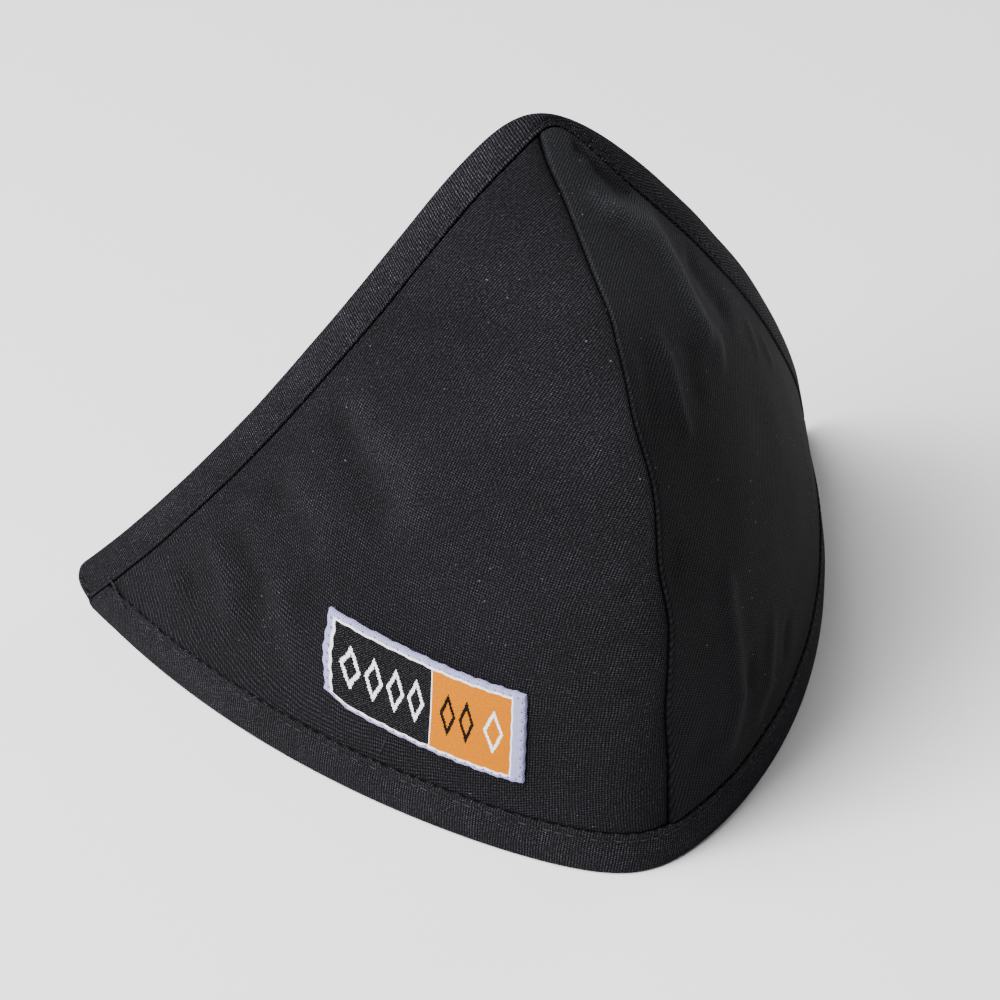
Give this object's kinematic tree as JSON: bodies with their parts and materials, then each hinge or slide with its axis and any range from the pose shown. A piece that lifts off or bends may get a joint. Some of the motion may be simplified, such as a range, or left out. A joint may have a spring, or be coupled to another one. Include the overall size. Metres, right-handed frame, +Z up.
{
  "type": "helmet liner mouthpiece",
  "caption": "Dark cloth face piece of a winter helmet liner: cheeks joined in a centre seam, narrow upper binding, stitched hem, small sewn label, open at the back.",
  "frame": {"origin": "on the floor under the middle of the bounding box, where the hem stands", "axes": "+Z up, -Y out of the centre seam, +Y out of the open back, +X to the right when looking at the seam"},
  "size_m": [0.1744, 0.1322, 0.1411],
  "materials": {
    "cheek_cloth": "matt fine twill, charcoal",
    "binding_cloth": "matt fine twill, charcoal, folded strip",
    "hem_cloth": "matt fine twill, charcoal, stitched hem",
    "label_weave": "satin woven label with a pale border and two plain fields",
    "pad_cloth": "matt black hook pad"
  },
  "bodies": {
    "root": {"left_panel": "cheek_cloth", "right_panel": "cheek_cloth", "top_binding": "binding_cloth", "hem_binding": "hem_cloth", "label": "label_weave", "left_fastener_pad": "pad_cloth", "right_fastener_pad": "pad_cloth"}
  },
  "joints": []
}
